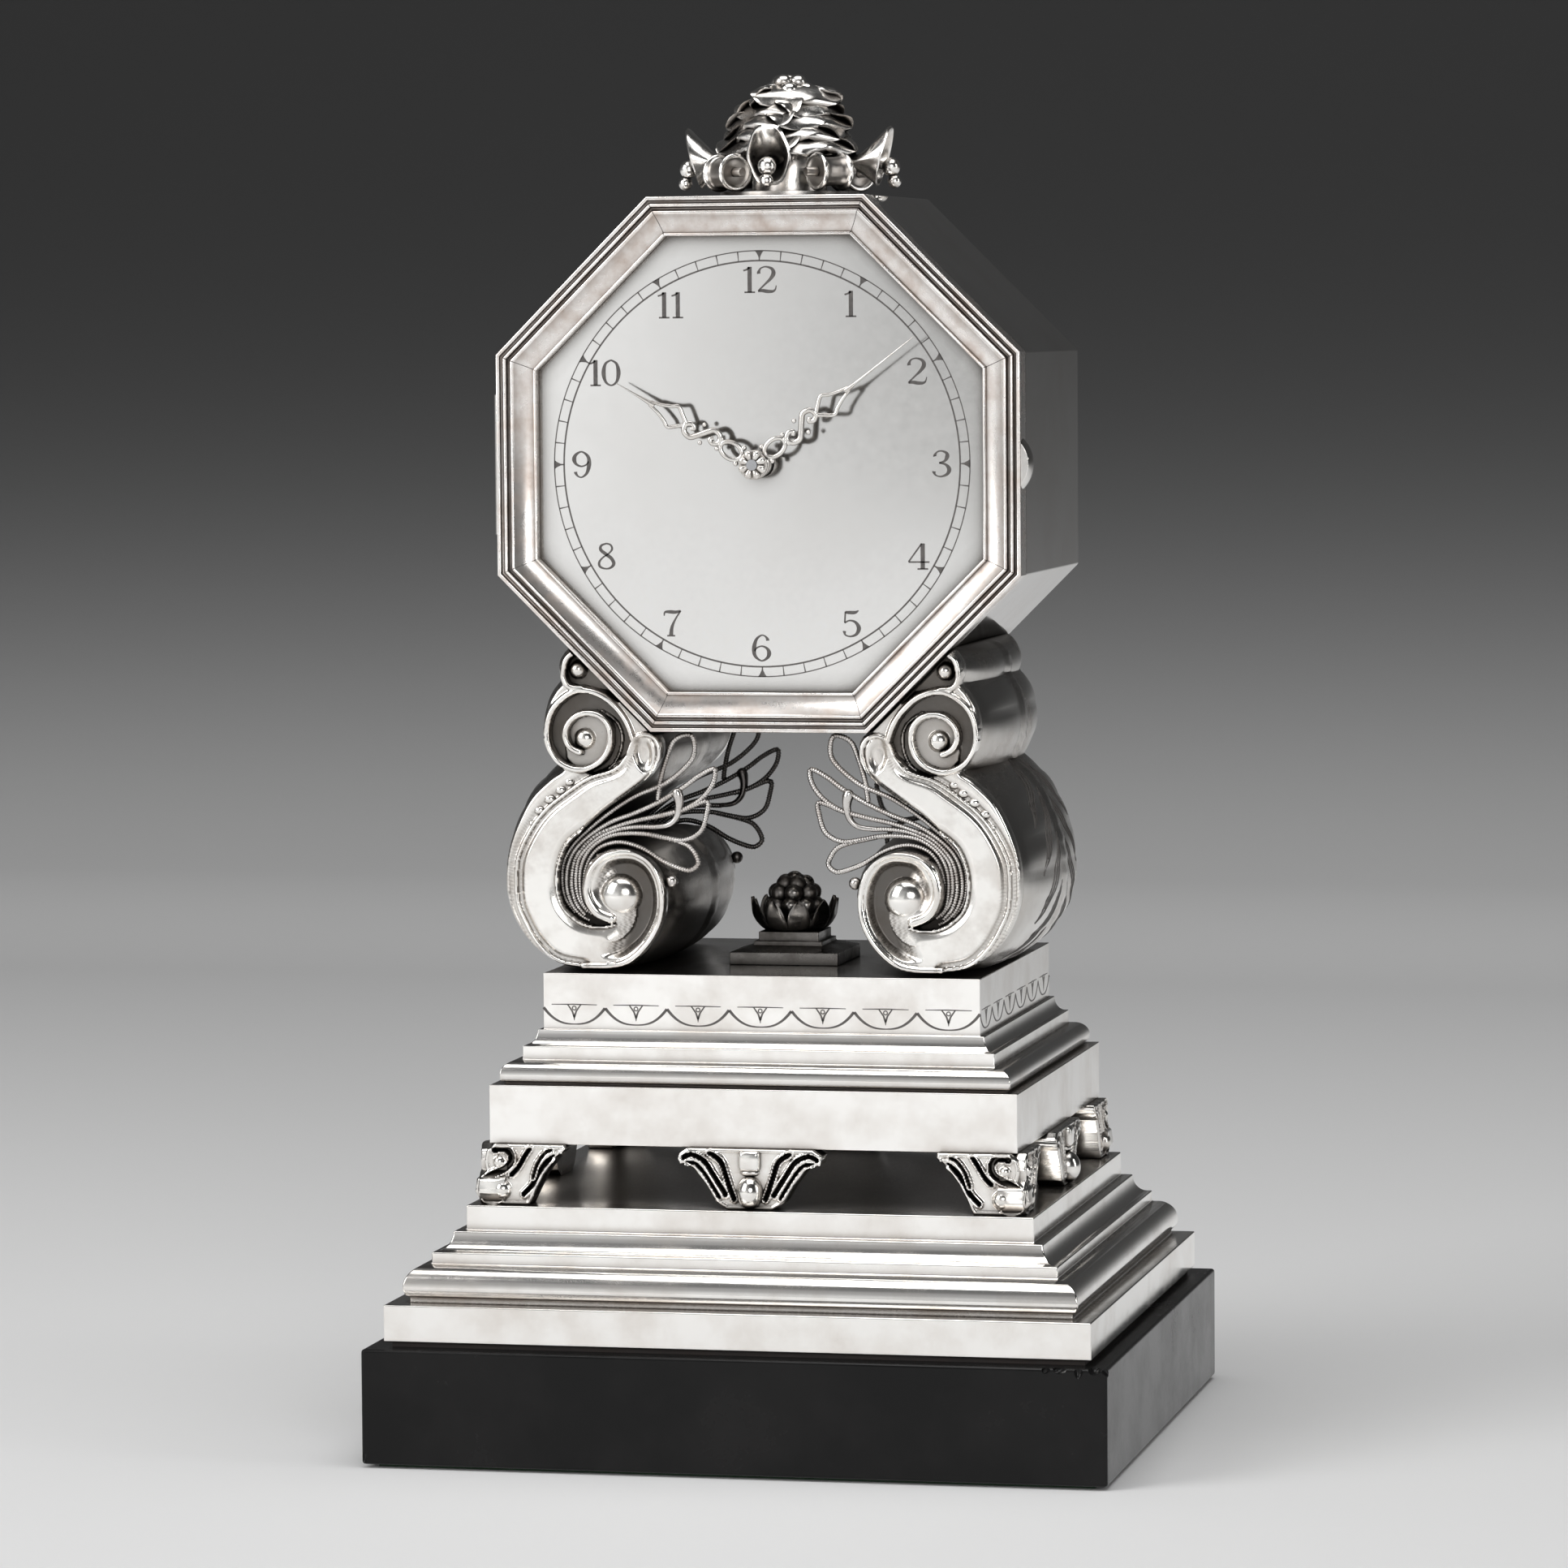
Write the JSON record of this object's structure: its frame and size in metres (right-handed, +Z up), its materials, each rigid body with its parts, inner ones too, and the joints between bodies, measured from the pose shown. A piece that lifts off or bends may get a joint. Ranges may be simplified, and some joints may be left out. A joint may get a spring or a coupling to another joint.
{
  "type": "table clock",
  "caption": "Octagonal silver table clock on two scrolled legs, moulded plinths and a black stone base, with a swing-open front and an eight-day style movement.",
  "frame": {"origin": "centre of the underside of the felt, at the middle of the rectangular base", "axes": "+X to the right of someone who reads the dial, +Y from the dial to the back, +Z up"},
  "size_m": [0.16, 0.1476, 0.2948],
  "materials": {
    "silver": "polished silver, slightly tarnished",
    "cast_silver": "cast and chased silver with dark oxidised recesses",
    "oxidised_silver": "dark oxidised silver",
    "dial_silver": "fine silvered dial surface",
    "stone": null,
    "leather": "thin dark leather",
    "felt": "dense wool felt",
    "core_wood": "plain unfinished wood",
    "brass": "lacquered brass",
    "steel": "polished steel",
    "blued": "darkened steel"
  },
  "bodies": {
    "stand": {"felt_underlay": "felt", "stone_base": "stone", "leather_sheet": "leather", "lower_plinth": "silver", "lower_core": "core_wood", "corner_foot_front_left": "cast_silver", "corner_foot_front_right": "cast_silver", "corner_foot_rear_left": "cast_silver", "corner_foot_rear_right": "cast_silver", "mid_foot_front": "cast_silver", "mid_foot_rear": "cast_silver", "mid_foot_left": "cast_silver", "mid_foot_right": "cast_silver", "upper_plinth": "silver", "upper_core": "core_wood", "leg_left": "cast_silver", "leg_right": "cast_silver", "leg_faces_left": "cast_silver", "leg_faces_right": "cast_silver", "screws": "steel", "spray_front_left": "cast_silver", "spray_front_right": "cast_silver", "spray_rear_left": "cast_silver", "spray_rear_right": "cast_silver", "ornament_pedestal": "oxidised_silver", "ornament_calyx": "oxidised_silver", "ornament_berries": "oxidised_silver", "case_shell": "silver", "case_hinge_leaf": "silver", "hinge_pin": "steel", "finial_cone": "cast_silver", "finial_berries": "cast_silver", "finial_barrels": "cast_silver", "finial_leaf_front": "cast_silver", "finial_leaf_rear": "cast_silver", "finial_leaf_left": "cast_silver", "finial_leaf_right": "cast_silver"},
    "front": {"bezel": "silver", "bezel_hinge_leaf": "silver", "thumb_piece": "silver", "dial_plate": "dial_silver", "carrier_plate": "brass", "front_plate": "brass", "back_plate": "brass", "pillars": "brass", "escapement_block": "brass", "balance_cock": "brass"},
    "centre": {"centre_arbor": "steel", "cannon_pinion": "steel", "minute_hand": "blued", "hand_rosette": "blued"},
    "hour": {"hour_wheel": "brass", "hour_hand": "blued"},
    "minute_work": {"minute_wheel": "brass"},
    "third": {"third_wheel": "brass"},
    "barrel": {"mainspring_barrel": "brass"},
    "winding": {"winding_arbor": "steel"},
    "click": {"click": "steel"},
    "balance": {"balance_wheel": "brass"},
    "regulator": {"regulator": "steel"}
  },
  "joints": [
    {"name": "front_hinge", "type": "hinge", "parent": "stand", "child": "front", "pos_m": [-0.05815, -0.03495, 0.2114], "axis": [0, 0, -1], "range_deg": [0, 105]},
    {"name": "centre_turn", "type": "hinge", "parent": "front", "child": "centre", "pos_m": [0, 0, 0.2114], "axis": [0, 1, 0], "continuous": true},
    {"name": "hour_turn", "type": "hinge", "parent": "front", "child": "hour", "pos_m": [0, 0, 0.2114], "axis": [0, 1, 0], "continuous": true},
    {"name": "minute_work_turn", "type": "hinge", "parent": "front", "child": "minute_work", "pos_m": [0.012, 0, 0.2114], "axis": [0, 1, 0], "continuous": true},
    {"name": "third_turn", "type": "hinge", "parent": "front", "child": "third", "pos_m": [0.0072, 0, 0.22387], "axis": [0, 1, 0], "continuous": true},
    {"name": "barrel_turn", "type": "hinge", "parent": "front", "child": "barrel", "pos_m": [0, 0, 0.1922], "axis": [0, 1, 0], "continuous": true},
    {"name": "winding_turn", "type": "hinge", "parent": "front", "child": "winding", "pos_m": [0, 0, 0.1922], "axis": [0, 1, 0], "continuous": true},
    {"name": "click_swing", "type": "hinge", "parent": "front", "child": "click", "pos_m": [0.011, 0, 0.19407], "axis": [0, 1, 0], "range_deg": [0, 12]},
    {"name": "balance_swing", "type": "hinge", "parent": "front", "child": "balance", "pos_m": [0, 0, 0.23344], "axis": [0, 1, 0], "range_deg": [-135, 135], "stiffness_Nm_per_rad": 0.00001},
    {"name": "regulator_swing", "type": "hinge", "parent": "front", "child": "regulator", "pos_m": [0, 0, 0.23344], "axis": [0, 1, 0], "range_deg": [-20, 20]}
  ],
  "couplings": [
    {"joint": "hour_turn", "follows": "centre_turn", "ratio": 0.083333},
    {"joint": "minute_work_turn", "follows": "centre_turn", "ratio": -0.33333},
    {"joint": "third_turn", "follows": "centre_turn", "ratio": -8},
    {"joint": "barrel_turn", "follows": "centre_turn", "ratio": -0.14286}
  ]
}
